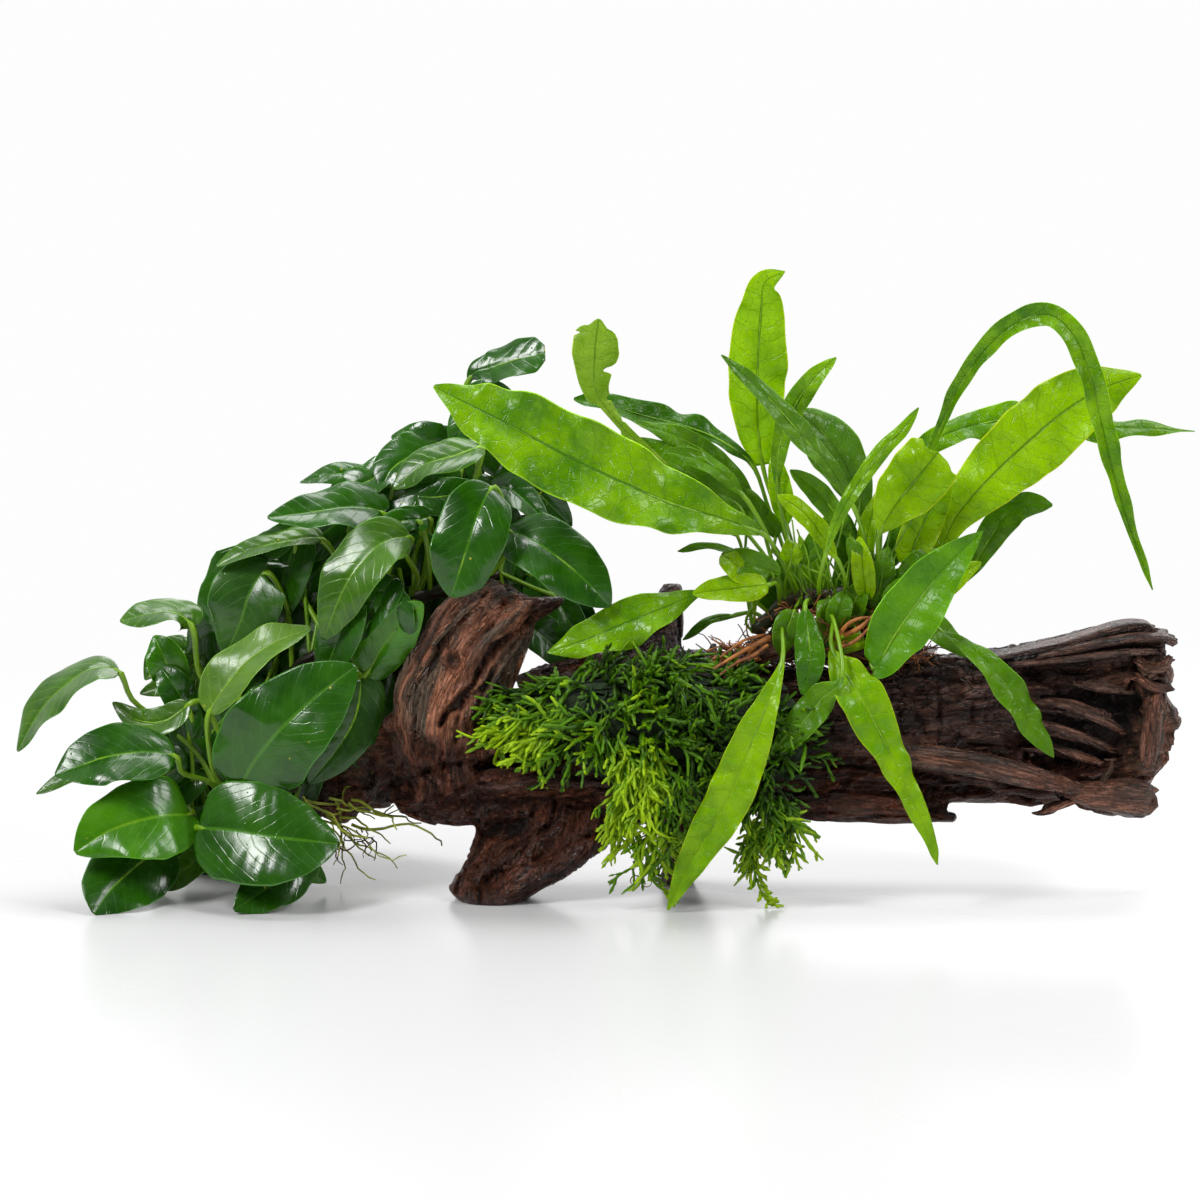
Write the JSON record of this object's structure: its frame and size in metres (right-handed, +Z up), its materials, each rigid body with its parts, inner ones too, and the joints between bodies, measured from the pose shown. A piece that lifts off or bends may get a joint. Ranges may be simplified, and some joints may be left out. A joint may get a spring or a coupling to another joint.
{
  "type": "java fern on driftwood",
  "caption": "Forked driftwood carrying java fern, anubias and java moss, resting on its feet as an aquascaping piece.",
  "frame": {"origin": "centre of the outer box at the level the driftwood stands on", "axes": "+X towards the broken end of the log, +Y away from the front, +Z up"},
  "size_m": [0.479, 0.1386, 0.2556],
  "materials": {
    "wet_driftwood": "wet, dark reddish brown",
    "dark_driftwood": "damp, near black",
    "red_driftwood": "weathered, red brown with grey bands",
    "root_mat": "matted brown roots",
    "anubias_leaf": "glossy, deep green",
    "anubias_inner_leaf": "satin, mid green",
    "fern_leaf": "satin, bright yellow green",
    "java_moss": "soft, feathery"
  },
  "bodies": {
    "root": {"anubias_leaf_behind_fern": "anubias_leaf", "anubias_leaf_big_front": "anubias_leaf", "anubias_leaf_bright_low": "anubias_leaf", "anubias_leaf_bright_mid": "anubias_leaf", "anubias_leaf_broad_right": "anubias_leaf", "anubias_leaf_dark_folded": "anubias_leaf", "anubias_leaf_dark_left": "anubias_leaf", "anubias_leaf_floor_left": "anubias_leaf", "anubias_leaf_floor_mid": "anubias_leaf", "anubias_leaf_glossy_centre": "anubias_leaf", "anubias_leaf_grey_behind": "anubias_leaf", "anubias_leaf_left_shelf": "anubias_leaf", "anubias_leaf_left_tip": "anubias_leaf", "anubias_leaf_pale_mid": "anubias_leaf", "anubias_leaf_round_low": "anubias_leaf", "anubias_leaf_striped_far_left": "anubias_leaf", "anubias_leaf_striped_left": "anubias_leaf", "anubias_leaf_striped_top": "anubias_leaf", "anubias_leaf_tall_mid": "anubias_leaf", "anubias_leaf_top": "anubias_leaf", "anubias_leaf_twisted_left": "anubias_leaf", "anubias_leaf_upper_dome": "anubias_leaf", "anubias_leaf_upper_right": "anubias_leaf", "anubias_rhizome_lower": "anubias_inner_leaf", "anubias_rhizome_upper": "anubias_inner_leaf", "driftwood_back_fork": "dark_driftwood", "driftwood_back_leg": "dark_driftwood", "driftwood_foot": "wet_driftwood", "driftwood_left_bough": "dark_driftwood", "driftwood_spur": "wet_driftwood", "driftwood_stump": "red_driftwood", "driftwood_trunk": "wet_driftwood", "fern_leaf_arching_gold": "fern_leaf", "fern_leaf_bright_right": "fern_leaf", "fern_leaf_broad_front": "fern_leaf", "fern_leaf_cut_tip": "fern_leaf", "fern_leaf_dark_front": "fern_leaf", "fern_leaf_floor_droop": "fern_leaf", "fern_leaf_front_droop": "fern_leaf", "fern_leaf_high_arch": "fern_leaf", "fern_leaf_hooked_right": "fern_leaf", "fern_leaf_long_back": "fern_leaf", "fern_leaf_long_left": "fern_leaf", "fern_leaf_low_left": "fern_leaf", "fern_leaf_low_spear": "fern_leaf", "fern_leaf_narrow_left": "fern_leaf", "fern_leaf_narrow_right_up": "fern_leaf", "fern_leaf_needle": "fern_leaf", "fern_leaf_pale_back": "fern_leaf", "fern_leaf_right_droop": "fern_leaf", "fern_leaf_round_left": "fern_leaf", "fern_leaf_tall_centre": "fern_leaf", "fern_leaf_torn_tip": "fern_leaf", "fern_leaf_wavy_left": "fern_leaf", "fern_leaf_wide_back": "fern_leaf", "fern_rhizome": "fern_leaf", "fern_root_mat": "root_mat", "java_moss_beard_left": "java_moss", "java_moss_beard_right": "java_moss", "java_moss_mat": "java_moss"}
  },
  "joints": []
}
